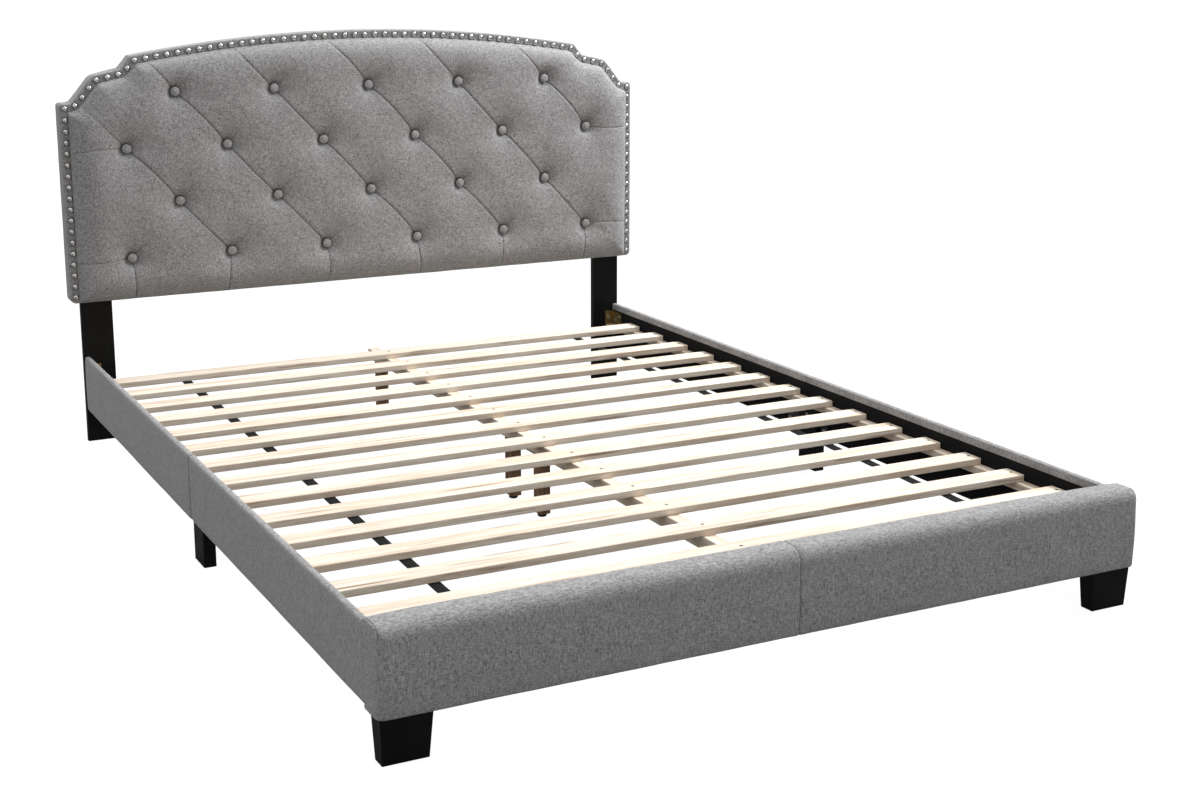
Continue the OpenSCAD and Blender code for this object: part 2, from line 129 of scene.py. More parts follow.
def rounded(corners):
    """Each corner swapped for an arc of its radius."""
    out = []
    n = len(corners)
    for i, (x, z, r) in enumerate(corners):
        p = np.array([x, z])
        if r == 0:
            out.append(p)
            continue
        u = unit(np.array(corners[i - 1][:2]) - p)
        v = unit(np.array(corners[(i + 1) % n][:2]) - p)
        turn = math.pi - math.acos(max(-1.0, min(1.0, float(u @ v))))
        a, b = p + u * r * math.tan(turn / 2), p + v * r * math.tan(turn / 2)
        c = p + unit(u + v) * r / math.cos(turn / 2)
        start = math.atan2(*(a - c)[::-1])
        sweep = (math.atan2(*(b - c)[::-1]) - start + math.pi) % (2 * math.pi) - math.pi
        for k in range(CORNER_STEPS + 1):
            t = start + sweep * k / CORNER_STEPS
            out.append(c + r * np.array([math.cos(t), math.sin(t)]))
    return out


CORNERS = headboard_corners()


def outline(d=0.0, step=None):
    """Points round the headboard at inset d; with a step, long sides are split alike at every inset."""
    pts = rounded(inset(CORNERS, d)) if d else rounded(CORNERS)
    if step is None:
        return np.array(pts)
    base = rounded(CORNERS)
    out = []
    for i, p in enumerate(pts):
        q = pts[(i + 1) % len(pts)]
        long = np.linalg.norm(base[(i + 1) % len(base)] - base[i])
        cuts = max(1, round(long / step))
        out += [p + (q - p) * k / cuts for k in range(cuts)]
    return np.array(out)


def nail_spots():
    """Middles of the nails, evenly spaced up one side, over the top and down the other."""
    low = HEAD_LOW + NAIL_IN + 0.004
    line = [p for p in outline(NAIL_IN) if p[1] > low + 0.001]
    line = np.array([(HEAD_W - NAIL_IN, low), *line, (NAIL_IN - HEAD_W, low)])
    run = np.concatenate([[0], np.cumsum(np.linalg.norm(np.diff(line, axis=0), axis=1))])
    count = round(run[-1] / NAIL_PITCH)
    s = np.linspace(0, run[-1], count + 1)
    return np.stack([np.interp(s, run, line[:, 0]), np.interp(s, run, line[:, 1])], axis=1)


def button_spots():
    """(x, z) of every button, and its row from the top."""
    spots = []
    for row in range(4):
        for col in range(-3, 5):
            x = (col - (row % 2) / 2) * BUTTON_COL
            if abs(x) < HEAD_W - 0.12:
                spots.append((x, BUTTON_Z - row * BUTTON_ROW, row))
    return spots


NAILS = nail_spots()
BUTTONS = button_spots()


# ---------- modelling helpers ----------

def deselect():
    if bpy.context.mode != "OBJECT":
        bpy.ops.object.mode_set(mode="OBJECT")
    bpy.ops.object.select_all(action="DESELECT")


def begin(piece):
    deselect()
    piece.select_set(True)
    bpy.context.view_layer.objects.active = piece


def settle(piece, smooth_angle=40):
    """Merges doubles, turns faces outwards, and shades smooth but for the sharp edges."""
    begin(piece)
    bpy.ops.object.mode_set(mode="EDIT")
    bpy.ops.mesh.select_all(action="SELECT")
    bpy.ops.mesh.remove_doubles(threshold=1e-6)
    bpy.ops.mesh.normals_make_consistent(inside=False)
    bpy.ops.object.mode_set(mode="OBJECT")
    bpy.ops.object.shade_smooth_by_angle(angle=math.radians(smooth_angle))
    return piece


def apply_modifiers(piece):
    begin(piece)
    for name in [m.name for m in piece.modifiers]:
        bpy.ops.object.modifier_apply(modifier=name)


def joined(name, parts):
    begin(parts[0])
    for p in parts[1:]:
        p.select_set(True)
    if len(parts) > 1:
        bpy.ops.object.join()
    parts[0].name = name
    return parts[0]


def lattice(name, rows):
    """A grid primitive whose points are moved to the given rows of points."""
    deselect()
    across, along = len(rows[0]) - 1, len(rows) - 1
    bpy.ops.mesh.primitive_grid_add(x_subdivisions=across, y_subdivisions=along, size=1)
    piece = bpy.context.object
    piece.name = piece.data.name = name
    flat = np.array([tuple(p) for row in rows for p in row], dtype=np.float32)
    if len(flat) != len(piece.data.vertices):
        raise RuntimeError(f"{name}: the grid has {len(piece.data.vertices)} points, not {len(flat)}")
    piece.data.vertices.foreach_set("co", flat.ravel())
    piece.data.update()
    return piece


def loft(name, loops, smooth_angle=40, open_ends=False):
    """A skin through closed loops of points, with its two ends filled."""
    piece = lattice(name, [list(loop) + [loop[0]] for loop in loops])
    begin(piece)
    bpy.ops.object.mode_set(mode="EDIT")
    bpy.ops.mesh.select_all(action="SELECT")
    bpy.ops.mesh.remove_doubles(threshold=1e-6)
    if not open_ends:
        bpy.ops.mesh.select_all(action="SELECT")
        bpy.ops.mesh.fill_holes(sides=0)
    bpy.ops.object.mode_set(mode="OBJECT")
    return settle(piece, smooth_angle)


def turned(name, profile, steps, centre, tilt=(0.0, 0.0), smooth_angle=50):
    """A round piece facing the foot end: profile is (radius, depth) from its rim to its middle."""
    cx, cy, cz = centre
    loops = []
    for r, d in profile:
        ring = []
        for k in range(steps):
            t = 2 * math.pi * k / steps
            x, z = r * math.cos(t), r * math.sin(t)
            ring.append((cx + x, cy + d + x * tilt[0] + z * tilt[1], cz + z))
        loops.append(ring)
    return loft(name, loops, smooth_angle)


def coords(piece):
    flat = np.empty(len(piece.data.vertices) * 3, np.float32)
    piece.data.vertices.foreach_get("co", flat)
    return flat.reshape(-1, 3)


def set_coords(piece, co):
    piece.data.vertices.foreach_set("co", np.ascontiguousarray(co, np.float32).ravel())
    piece.data.update()


def swell(piece, held, cap, pressure=4.0, frames=20, stiffness=15.0):
    """Blows the cloth of a padded piece up a little round its held points, and applies it."""
    start = coords(piece).copy()
    group = piece.vertex_groups.new(name="held")
    for level in sorted({round(float(w), 2) for w in held}):
        if level > 0:
            group.add(np.nonzero(np.abs(held - level) < 0.006)[0].tolist(), level, "REPLACE")
    cloth = piece.modifiers.new("Cloth", "CLOTH")
    s = cloth.settings
    s.quality = 4
    s.mass = 0.25
    s.tension_stiffness = s.compression_stiffness = stiffness
    s.shear_stiffness = 5.0
    s.bending_stiffness = 1.5
    s.use_pressure = True
    s.uniform_pressure_force = pressure
    s.effector_weights.gravity = 0.0
    s.vertex_group_mass = "held"
    s.pin_stiffness = 4.0
    cloth.collision_settings.use_collision = False
    cloth.point_cache.frame_start, cloth.point_cache.frame_end = 1, frames
    for f in range(1, frames + 1):
        scene.frame_set(f)
    apply_modifiers(piece)
    moved = coords(piece) - start
    far = np.linalg.norm(moved, axis=1, keepdims=True)
    moved *= np.minimum(1.0, cap / np.maximum(far, 1e-9))
    set_coords(piece, start + moved)
    piece.vertex_groups.clear()
    scene.frame_set(1)


def mask(piece, name, values):
    """A value from 0 to 1 at every point, which the materials read."""
    layer = piece.data.attributes.new(name, "FLOAT", "POINT")
    layer.data.foreach_set("value", np.clip(values, 0, 1).astype(np.float32))


def ramp(x, lo, hi):
    return np.clip((x - lo) / (hi - lo), 0, 1)


def waver(x, y, z, size, seed):
    return noise.noise(Vector((x / size + seed, y / size, z / size)))


def dress(piece, material, slot, *nodes):
    """Material, body and CAD nodes of a finished piece. The slot argument is not used."""
    piece.data.materials.clear()
    piece.data.materials.append(material)
    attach(piece, BODY)
    if nodes:
        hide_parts(*nodes)
    return piece


# ---------- effects that the materials share ----------

def put(tree, kind, inputs=None, **props):
    made = tree.nodes.new(kind)
    for key, value in props.items():
        setattr(made, key, value)
    for key, value in (inputs or {}).items():
        socket = made.inputs[key]
        if isinstance(value, bpy.types.NodeSocket):
            tree.links.new(value, socket)
        else:
            socket.default_value = value
    return made


def effect(name, ins, outs):
    tree = bpy.data.node_groups.new(name, "ShaderNodeTree")
    for socket, kind, value in ins:
        made = tree.interface.new_socket(socket, in_out="INPUT", socket_type=kind)
        made.default_value = value
    for socket, kind in outs:
        tree.interface.new_socket(socket, in_out="OUTPUT", socket_type=kind)
    return tree, put(tree, "NodeGroupInput").outputs, put(tree, "NodeGroupOutput").inputs


NUMBER, VECTOR, COLOUR = "NodeSocketFloat", "NodeSocketVector", "NodeSocketColor"


def stretched_noise(tree, vector, scale, detail=2.0, rough=0.6, shift=(0.0, 0.0, 0.0)):
    at = put(tree, "ShaderNodeMapping", {"Vector": vector, "Location": shift, "Scale": scale})
    return put(tree, "ShaderNodeTexNoise",
               {"Vector": at.outputs[0], "Scale": 1.0, "Detail": detail, "Roughness": rough}).outputs[0]


def maths(tree, operation, a, b=0.0, clamp=False):
    return put(tree, "ShaderNodeMath", {0: a, 1: b}, operation=operation, use_clamp=clamp).outputs[0]


def remap(tree, value, lo, hi, to_lo=0.0, to_hi=1.0):
    return put(tree, "ShaderNodeMapRange",
               {"Value": value, "From Min": lo, "From Max": hi, "To Min": to_lo, "To Max": to_hi}).outputs[0]


def blended(tree, amount, a, b, mode="MIX"):
    made = put(tree, "ShaderNodeMix", data_type="RGBA", blend_type=mode, clamp_factor=True)
    for index, value in ((0, amount), (6, a), (7, b)):
        if isinstance(value, bpy.types.NodeSocket):
            tree.links.new(value, made.inputs[index])
        else:
            made.inputs[index].default_value = value
    return made.outputs[2]


def make_weave():
    """Heathered linen-look cloth: threads both ways, slubs, soft patches, and painted shade that darkens it
    where its shade input is high.
    """
    tree, ins, outs = effect(
        "heather weave",
        [("Dark Thread", COLOUR, (0.1, 0.1, 0.1, 1)), ("Light Thread", COLOUR, (0.4, 0.4, 0.4, 1)),
         ("Painted Shade", NUMBER, 0.0)],
        [("Colour", COLOUR), ("Height", NUMBER), ("Fuzz", NUMBER)])
    at = put(tree, "ShaderNodeTexCoord").outputs["Object"]
    flat = stretched_noise(tree, at, (150, 150, 600), 1.0, 0.5)
    upright = stretched_noise(tree, at, (560, 560, 110), 1.0, 0.5, (3.1, 0.7, 5.3))
    slub = stretched_noise(tree, at, (60, 60, 420), 1.0, 0.5, (9.0, 2.0, 1.0))
    patch = stretched_noise(tree, at, (14, 14, 14), 2.0, 0.5, (4.0, 8.0, 2.0))
    threads = maths(tree, "ADD", maths(tree, "MULTIPLY", flat, 0.5), maths(tree, "MULTIPLY", upright, 0.5))
    heather = maths(tree, "ADD", maths(tree, "MULTIPLY", threads, 0.84),
                    maths(tree, "ADD", maths(tree, "MULTIPLY", slub, 0.12),
                          maths(tree, "MULTIPLY", patch, 0.04)))
    amount = remap(tree, heather, 0.33, 0.67)
    base = blended(tree, amount, ins["Dark Thread"], ins["Light Thread"])
    # painted shade: the shade input darkens the cloth towards near-black
    shade = blended(tree, remap(tree, ins["Painted Shade"], 0, 1, 0, 0.75), base, (0.035, 0.033, 0.031, 1))
    tree.links.new(shade, outs["Colour"])
    tree.links.new(heather, outs["Height"])
    tree.links.new(remap(tree, amount, 0, 1, 0.82, 0.98), outs["Fuzz"])
    return tree


def make_grain():
    """Planed wood: long fibres, growth bands, small knots and a few dark streaks."""
    tree, ins, outs = effect(
        "wood grain",
        [("Light Wood", COLOUR, (0.8, 0.7, 0.6, 1)), ("Dark Wood", COLOUR, (0.5, 0.4, 0.3, 1)),
         ("Knot Wood", COLOUR, (0.2, 0.12, 0.07, 1)), ("Run", VECTOR, (1, 1, 1))],
        [("Colour", COLOUR), ("Height", NUMBER), ("Pores", NUMBER)])
    at = put(tree, "ShaderNodeTexCoord").outputs["Object"]
    along = put(tree, "ShaderNodeVectorMath", {0: at, 1: ins["Run"]}, operation="MULTIPLY").outputs[0]
    bands = stretched_noise(tree, along, (55, 55, 55), 3.0, 0.55)
    fibre = stretched_noise(tree, along, (420, 420, 420), 2.0, 0.6, (5.0, 1.0, 2.0))
    streak = stretched_noise(tree, along, (95, 95, 95), 2.0, 0.6, (1.0, 7.0, 3.0))
    bent = put(tree, "ShaderNodeMapping", {"Vector": along, "Scale": (26, 26, 26)})
    knots = put(tree, "ShaderNodeTexVoronoi", {"Vector": bent.outputs[0], "Scale": 1.0, "Randomness": 1.0},
                distance="EUCLIDEAN").outputs["Distance"]
    tone = maths(tree, "ADD", maths(tree, "MULTIPLY", bands, 0.6), maths(tree, "MULTIPLY", fibre, 0.4))
    base = blended(tree, remap(tree, tone, 0.38, 0.68), ins["Light Wood"], ins["Dark Wood"])
    streaked = blended(tree, remap(tree, streak, 0.60, 0.72, 0, 0.55), base, ins["Knot Wood"])
    knotted = blended(tree, remap(tree, knots, 0.14, 0.05, 0, 0.8), streaked, ins["Knot Wood"])
    tree.links.new(knotted, outs["Colour"])
    tree.links.new(tone, outs["Height"])
    tree.links.new(remap(tree, fibre, 0.3, 0.7, 0.5, 0.72), outs["Pores"])
    return tree


def make_bonded():
    """Bonded lining cloth: pressed dots in a felted ground."""
    tree, ins, outs = effect(
        "bonded cloth",
        [("Cloth", COLOUR, (0.02, 0.02, 0.02, 1)), ("Worn", COLOUR, (0.05, 0.05, 0.05, 1)),
         ("Pitch", NUMBER, 480.0)],
        [("Colour", COLOUR), ("Height", NUMBER)])
    at = put(tree, "ShaderNodeTexCoord").outputs["Object"]
    dots = put(tree, "ShaderNodeTexVoronoi", {"Vector": at, "Scale": ins["Pitch"], "Randomness": 0.25})
    felt = stretched_noise(tree, at, (260, 260, 260), 4.0, 0.7)
    height = maths(tree, "ADD", maths(tree, "MULTIPLY", dots.outputs["Distance"], 0.6),
                   maths(tree, "MULTIPLY", felt, 0.4))
    tree.links.new(blended(tree, remap(tree, felt, 0.35, 0.75), ins["Cloth"], ins["Worn"]), outs["Colour"])
    tree.links.new(height, outs["Height"])
    return tree


def make_rubbed():
    """Uneven finish on lacquer, plating and plastic: broad clouds, fine specks and rubbed places."""
    tree, ins, outs = effect(
        "rubbed finish",
        [("Finish", COLOUR, (0.02, 0.02, 0.02, 1)), ("Rubbed", COLOUR, (0.1, 0.1, 0.1, 1)),
         ("Smooth", NUMBER, 0.3), ("Rough", NUMBER, 0.5), ("Size", NUMBER, 30.0)],
        [("Colour", COLOUR), ("Roughness", NUMBER), ("Height", NUMBER)])
    at = put(tree, "ShaderNodeTexCoord").outputs["Object"]
    clouds = put(tree, "ShaderNodeTexNoise", {"Vector": at, "Scale": ins["Size"], "Detail": 4.0})
    specks = put(tree, "ShaderNodeTexNoise", {"Vector": at, "Scale": 900.0, "Detail": 2.0})
    both = maths(tree, "ADD", maths(tree, "MULTIPLY", clouds.outputs[0], 0.75),
                 maths(tree, "MULTIPLY", specks.outputs[0], 0.25))
    worn = blended(tree, remap(tree, both, 0.42, 0.75), ins["Finish"], ins["Rubbed"])
    tree.links.new(worn, outs["Colour"])
    rough = put(tree, "ShaderNodeMapRange", {"Value": both, "From Min": 0.35, "From Max": 0.65,
                                             "To Min": ins["Smooth"], "To Max": ins["Rough"]})
    tree.links.new(rough.outputs[0], outs["Roughness"])
    tree.links.new(specks.outputs[0], outs["Height"])
    return tree


WEAVE, GRAIN, BONDED, RUBBED = make_weave(), make_grain(), make_bonded(), make_rubbed()


def material(name, **sockets):
    made = bpy.data.materials.new(name)
    made.use_nodes = True
    tree = made.node_tree
    tree.nodes.clear()
    shader = put(tree, "ShaderNodeBsdfPrincipled", {k.replace("_", " "): v for k, v in sockets.items()})
    end = put(tree, "ShaderNodeOutputMaterial")
    tree.links.new(shader.outputs[0], end.inputs[0])
    return made, tree, shader.inputs


def place(tree, group, inputs):
    made = put(tree, "ShaderNodeGroup")
    made.node_tree = group
    for key, value in inputs.items():
        if isinstance(value, bpy.types.NodeSocket):
            tree.links.new(value, made.inputs[key])
        else:
            made.inputs[key].default_value = value
    return made.outputs


def bumped(tree, height, strength, distance, into):
    bump = put(tree, "ShaderNodeBump", {"Strength": strength, "Distance": distance, "Height": height})
    tree.links.new(bump.outputs[0], into["Normal"])


def linen(name, dark, light, folds=False):
    made, tree, into = material(name, Sheen_Weight=0.25, Sheen_Roughness=0.5, Specular_IOR_Level=0.2)
    # this point attribute carries painted shade for creases, seams, grooves and rings round buttons
    painted_shade = put(tree, "ShaderNodeAttribute", attribute_name="painted_shade").outputs["Fac"] if folds else 0.0
    out = place(tree, WEAVE, {"Dark Thread": (*dark, 1), "Light Thread": (*light, 1), "Painted Shade": painted_shade})
    tree.links.new(out["Colour"], into["Base Color"])
    tree.links.new(out["Fuzz"], into["Roughness"])
    bumped(tree, out["Height"], 0.30, 0.0007, into)
    return made


def wood(name, light, dark, knot, run, relief=0.25, coat=0.0):
    made, tree, into = material(name, Specular_IOR_Level=0.3, Coat_Weight=coat)
    out = place(tree, GRAIN, {"Light Wood": (*light, 1), "Dark Wood": (*dark, 1),
                              "Knot Wood": (*knot, 1), "Run": run})
    tree.links.new(out["Colour"], into["Base Color"])
    tree.links.new(out["Pores"], into["Roughness"])
    bumped(tree, out["Height"], relief, 0.0006, into)
    return made


def bonded(name, cloth, worn, pitch):
    made, tree, into = material(name, Roughness=0.92, Sheen_Weight=0.02, Specular_IOR_Level=0.1)
    out = place(tree, BONDED, {"Cloth": (*cloth, 1), "Worn": (*worn, 1), "Pitch": pitch})
    tree.links.new(out["Colour"], into["Base Color"])
    bumped(tree, out["Height"], 0.5, 0.0004, into)
    return made


def finish_coat(name, colour, rubbed, smooth, rough, size, metal=0.0, relief=0.08, painted_rim=None,
                **sockets):
    made, tree, into = material(name, Metallic=metal, **sockets)
    out = place(tree, RUBBED, {"Finish": (*colour, 1), "Rubbed": (*rubbed, 1),
                               "Smooth": smooth, "Rough": rough, "Size": size})
    # a painted dark rim, standing in for dark reflections, lies where the attribute mask is high
    shade = out["Colour"]
    if painted_rim:
        painted_shade = put(tree, "ShaderNodeAttribute", attribute_name="painted_shade").outputs["Fac"]
        shade = blended(tree, painted_shade, shade, (*painted_rim, 1))
    tree.links.new(shade, into["Base Color"])
    tree.links.new(out["Roughness"], into["Roughness"])
    bumped(tree, out["Height"], relief, 0.0003, into)
    return made


ALONG_X, ALONG_Y, ALONG_Z = (0.05, 1, 1), (1, 0.05, 1), (1, 1, 0.06)
PINE = ((0.88, 0.80, 0.69), (0.62, 0.47, 0.34), (0.24, 0.14, 0.08))
LINEN = linen("grey linen", (0.125, 0.122, 0.124), (0.46, 0.452, 0.452), folds=True)
LINEN_BUTTON = linen("grey linen on buttons", (0.16, 0.157, 0.157), (0.46, 0.455, 0.455))
THREAD = finish_coat("grey sewing thread", (0.36, 0.355, 0.35), (0.50, 0.495, 0.49), 0.6, 0.8, 200.0)
LINING = bonded("black lining cloth", (0.006, 0.006, 0.0065), (0.014, 0.014, 0.015), 420.0)
WEBBING = bonded("black webbing", (0.006, 0.006, 0.006), (0.018, 0.018, 0.018), 620.0)
PINE_ACROSS = wood("pale pine slats", *PINE, ALONG_X)
PINE_LONG = wood("pale pine bars", *PINE, ALONG_Y)
STAINED = wood("brown stained pine", (0.33, 0.20, 0.12), (0.16, 0.085, 0.045), (0.06, 0.03, 0.02),
               ALONG_Z, 0.4)
PLYWOOD = wood("plywood", (0.66, 0.50, 0.33), (0.48, 0.34, 0.21), (0.2, 0.12, 0.07), (0.3, 1, 0.15), 0.3)
TIMBER = wood("frame timber", (0.70, 0.55, 0.37), (0.50, 0.36, 0.22), (0.2, 0.12, 0.07), ALONG_X, 0.5)
LACQUER = finish_coat("satin black lacquer", (0.004, 0.004, 0.004), (0.009, 0.0088, 0.0085),
                      0.34, 0.50, 14.0, relief=0.10, Coat_Weight=0.03, Coat_Roughness=0.25,
                      Specular_IOR_Level=0.14)
# its dark rim colour is a painted reflection round each nail head
NICKEL = finish_coat("polished nickel", (0.74, 0.73, 0.71), (0.56, 0.54, 0.51), 0.10, 0.24,
                     60.0, 1.0, 0.04, painted_rim=(0.06, 0.055, 0.05))
ZINC = finish_coat("yellow zinc", (0.40, 0.29, 0.10), (0.30, 0.25, 0.15), 0.30, 0.48, 45.0, 1.0)
BLACK_STEEL = finish_coat("black painted steel", (0.016, 0.016, 0.017), (0.05, 0.05, 0.05), 0.38, 0.6, 40.0)
BOLT_STEEL = finish_coat("zinc plated bolts", (0.62, 0.62, 0.63), (0.45, 0.45, 0.46), 0.24, 0.44, 80.0, 1.0)
DARK_SCREW = finish_coat("dark screws", (0.10, 0.095, 0.09), (0.20, 0.19, 0.17), 0.35, 0.55, 120.0, 0.8)
PLASTIC = finish_coat("black moulded plastic", (0.014, 0.014, 0.015), (0.035, 0.035, 0.036), 0.42, 0.6, 70.0)


# ---------- headboard: tufted cover ----------

EDGE_IN = 0.0215         # the cover meets the border this far in
CROWN = 0.036            # how far it stands proud of the rim
GRID = 0.0085            # spacing of the cloth grid before it is subdivided
CREASE_WIDTH = 0.0017
CREASE_SHADE_WIDTH = 0.0013     # width of the painted shade line in a crease
CREASE_SHADE_FULL = 0.0042     # depth at which a crease's painted shade is darkest
VALLEY_WIDTH = 0.024
DIMPLE_R = 0.0115        # the dimple is flat under its button
DIMPLE_DEPTH = 0.0215
DIMPLE_SPREAD = 0.0105
HOLLOW_DEPTH = 0.0070    # wide hollow round each dimple
HOLLOW_R = 0.052
DIMPLE_MOST = 0.0285
HELD_R = 0.016           # cloth held still round a button
SHADE_RING_R = 0.0118          # painted shadow ring beside the button


def lines_between_buttons():
    """Folds of the cover: (from, to, sharp depth, broad depth, strength at start, middle and end)."""
    folds = []
    spots = {(round(x, 3), row): (x, z) for x, z, row in BUTTONS}
    half = BUTTON_COL / 2
    for x, z, row in BUTTONS:
        for side in (-1, 1):
            below = spots.get((round(x + side * half, 3), row + 1))
            if below is None:
                continue
            if side > 0:
                folds.append(((x, z), below, 0.0042, 0.0005, 1.0, 0.72, 1.0))
            else:
                folds.append((below, (x, z), 0.0026, 0.0020, 1.0, 0.16, 0.30))
        if row == 0:
            folds.append(((x, z), (x - 0.112, z + 0.120), 0.0040, 0.0006, 0.9, 0.65, 0.75))
            folds.append(((x, z), (x + 0.105, z + 0.112), 0.0026, 0.0020, 1.0, 0.16, 0.25))
        if row in (1, 3) and abs(x) > HEAD_W - 0.2:
            end = math.copysign(HEAD_W - EDGE_IN, x)
            folds.append(((x, z), (end, z - 0.006), 0.0030, 0.0016, 0.9, 0.6, 0.8))
            if row == 1:
                folds.append(((x, z), (x + math.copysign(0.118, x), z + 0.126),
                              0.0030, 0.0020, 1.0, 0.35, 0.4))
        if row == 3:
            lean = 0.012 * math.sin(x * 7.0 + 1.0)
            folds.append(((x, z), (x + lean, HEAD_LOW), 0.0040, 0.0020, 0.9, 0.7, 0.9))
    return folds


def fold_depths(x, z):
    """Depth of the folds at many points, and how much painted shade lies on each crease line, from 0 to 1."""
    sharp, broad = np.zeros_like(x), np.zeros_like(x)
    line = np.zeros_like(x)
    for index, (start, end, edge, valley, first, middle, last) in enumerate(lines_between_buttons()):
        (x0, z0), (x1, z1) = start, end
        length = math.hypot(x1 - x0, z1 - z0)
        ux, uz = (x1 - x0) / length, (z1 - z0) / length
        s = ((x - x0) * ux + (z - z0) * uz) / length
        bow = 0.0045 * math.sin(index * 2.3) * np.sin(np.pi * np.clip(s, 0, 1))
        t = (x - x0) * -uz + (z - z0) * ux - bow
        on = np.where(s < 0.5, first + (middle - first) * np.sin(np.pi * np.clip(s, 0, 0.5)),
                      last + (middle - last) * np.sin(np.pi * np.clip(1 - s, 0, 0.5)))
        on = on * (ramp(s, -0.02, 0.03) * ramp(-s, -1.03, -0.97))
        lip = np.exp(-np.abs(t) / CREASE_WIDTH)
        sharp = np.maximum(sharp, 1.15 * edge * on * lip)
        broad = np.maximum(broad, valley * on * np.exp(-((t / VALLEY_WIDTH) ** 2)))
        # painted shade along each crease line
        line = np.maximum(line, on * np.exp(-((t / CREASE_SHADE_WIDTH) ** 2)) * min(1.0, edge / CREASE_SHADE_FULL))
    return sharp, broad, line


def dimple_depths(x, z):
    """Depth of the dimples under the buttons."""
    depth = np.zeros_like(x)
    near = np.full_like(x, 9.0)
    for bx, bz, _ in BUTTONS:
        r = np.hypot(x - bx, z - bz)
        near = np.minimum(near, r)
        depth += (DIMPLE_DEPTH * np.exp(-np.maximum(r - DIMPLE_R, 0) / DIMPLE_SPREAD)
                  + HOLLOW_DEPTH * np.exp(-((r / HOLLOW_R) ** 2)))
    return depth, near


def edge_distance(x, z, ring):
    """Distance of many points to a closed outline."""
    best = np.full(x.shape, 9.0)
    for a, b in zip(ring, np.roll(ring, -1, axis=0)):
        d = b - a
        t = np.clip(((x - a[0]) * d[0] + (z - a[1]) * d[1]) / max(1e-12, d @ d), 0, 1)
        best = np.minimum(best, np.hypot(x - a[0] - t * d[0], z - a[1] - t * d[1]))
    return best


def tufted_cover():
    ring = outline(EDGE_IN)
    low_edge = HEAD_LOW + 0.0012
    upper = np.array(sorted((p[0], p[1]) for p in ring if p[1] > HEAD_LOW + 0.1))
    half = HEAD_W - EDGE_IN
    columns = np.linspace(-half, half, round(2 * half / GRID) + 1)
    tops = np.interp(columns, upper[:, 0], upper[:, 1])
    rows_n = round((HEAD_TOP - HEAD_LOW) / GRID)
    share = np.linspace(0, 1, rows_n + 1)
    xs, vs = np.meshgrid(columns, share)
    zs = low_edge + (tops[None, :] - low_edge) * vs
    # the sides and the rolled lower edge are one closed outline
    shape = np.array([(-half, low_edge), (half, low_edge), *[p for p in upper[::-1]]])
    d = edge_distance(xs, zs, shape)
    low_d = zs - low_edge
    puff = np.sqrt(np.clip(1 - (1 - np.clip(d / 0.080, 0, 1)) ** 2.6, 0, 1))
    roll = np.sqrt(np.clip(1 - (1 - np.clip(low_d / 0.034, 0, 1)) ** 2.2, 0, 1))
    lift = CROWN * np.minimum(puff, 0.25 + 0.75 * roll)
    dimples, _ = dimple_depths(xs, zs)
    sharp, broad, _ = fold_depths(xs, zs)
    rise = np.minimum(1.0, puff * 1.15)
    height = lift - rise * (np.minimum(dimples, DIMPLE_MOST) + broad)
    floor_y = RIM_Y + 0.0012
    rows = [[(xs[j, i], floor_y - max(0.0, height[j, i]), zs[j, i]) for i in range(len(columns))]
            for j in range(rows_n + 1)]
    piece = lattice("tufted_cover", rows)
    co = coords(piece)
    _, near = dimple_depths(co[:, 0], co[:, 2])
    _, _, line = fold_depths(co[:, 0], co[:, 2])
    gap = edge_distance(co[:, 0], co[:, 2], shape)
    held = np.maximum.reduce([(near < HELD_R) * 1.0, (gap < 0.005) * 1.0, 0.4 * (line > 0.3)])
    swell(piece, held, cap=0.006, pressure=3.0)
    subdivide = piece.modifiers.new("Smooth", "SUBSURF")
    subdivide.boundary_smooth = "PRESERVE_CORNERS"
    subdivide.levels = subdivide.render_levels = 2
    apply_modifiers(piece)
    co = coords(piece)
    sharp, _, line = fold_depths(co[:, 0], co[:, 2])
    _, near = dimple_depths(co[:, 0], co[:, 2])
    front = ramp(RIM_Y - 0.001 - co[:, 1], 0, 0.008)
    co[:, 1] += sharp * front
    wrinkle = np.array([waver(x, 0, z, 0.030, 3.0) + 0.5 * waver(x, 0, z, 0.011, 8.0)
                        for x, _, z in co])
    co[:, 1] += 0.0006 * wrinkle * front
    set_coords(piece, co)
    # painted shade: dark lines along the creases and a painted shadow ring round each button
    mask(piece, "painted_shade", np.maximum(line * 0.95 * front, 0.8 * np.exp(-np.maximum(near - SHADE_RING_R, 0) / 0.0016)))
    # turned down all round to the panel, and closed behind
    begin(piece)
    bpy.ops.object.mode_set(mode="EDIT")
    bpy.ops.mesh.select_all(action="DESELECT")
    bpy.ops.mesh.select_mode(type="EDGE")
    bpy.ops.mesh.select_non_manifold()
    bpy.ops.mesh.extrude_edges_move(TRANSFORM_OT_translate={"value": (0, 0.1, 0)})
    bpy.ops.object.mode_set(mode="OBJECT")
    co = coords(piece)
    co[co[:, 1] > RIM_Y + 0.05, 1] = PANEL_Y - 0.0004
    set_coords(piece, co)
    bpy.ops.object.mode_set(mode="EDIT")
    bpy.ops.mesh.select_all(action="SELECT")
    bpy.ops.mesh.fill_holes(sides=0)
    bpy.ops.object.mode_set(mode="OBJECT")
    settle(piece, 60)
    return dress(piece, LINEN, "linen", "headboard_cushion")


